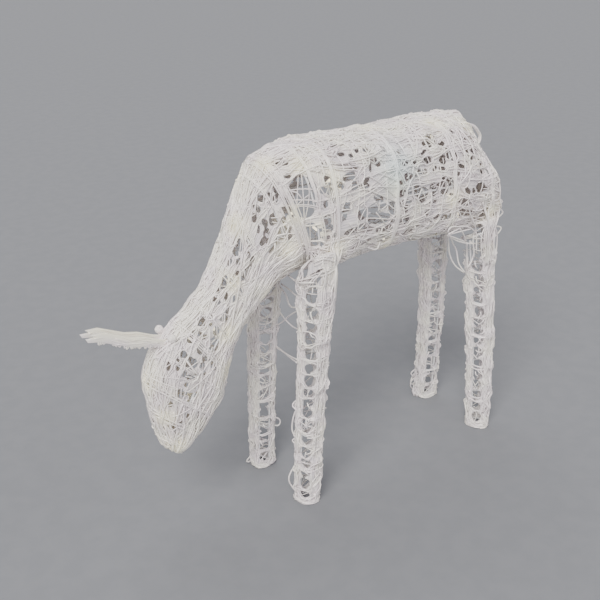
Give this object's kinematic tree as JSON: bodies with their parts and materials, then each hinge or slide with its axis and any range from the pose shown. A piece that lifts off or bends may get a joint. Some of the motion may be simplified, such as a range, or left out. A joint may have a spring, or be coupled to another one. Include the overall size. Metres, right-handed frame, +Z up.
{
  "type": "lighted reindeer yard decoration",
  "caption": "Grazing reindeer for the garden: wire cages for the body, neck and legs, wound with clear white acrylic thread and lit from inside.",
  "frame": {"origin": "on the ground, under the middle of the overall box", "axes": "+Z up, the animal faces -X, its left side towards -Y"},
  "size_m": [0.9924, 0.2444, 0.76],
  "materials": {
    "acrylic_thread": "clear to milky acrylic thread, glowing warm white near the lights",
    "painted_wire": "white powder coat"
  },
  "bodies": {
    "root": {"torso_thread_cover": "acrylic_thread", "head_and_neck_thread_cover": "acrylic_thread", "front_left_leg_thread_cover": "acrylic_thread", "front_right_leg_thread_cover": "acrylic_thread", "hind_left_leg_thread_cover": "acrylic_thread", "hind_right_leg_thread_cover": "acrylic_thread", "left_antler": "acrylic_thread", "right_antler": "acrylic_thread", "left_ear": "acrylic_thread", "right_ear": "acrylic_thread", "tail_loop": "acrylic_thread", "torso_wire_frame": "painted_wire", "head_and_neck_wire_frame": "painted_wire", "front_left_leg_wire_frame": "painted_wire", "front_right_leg_wire_frame": "painted_wire", "hind_left_leg_wire_frame": "painted_wire", "hind_right_leg_wire_frame": "painted_wire"}
  },
  "joints": []
}
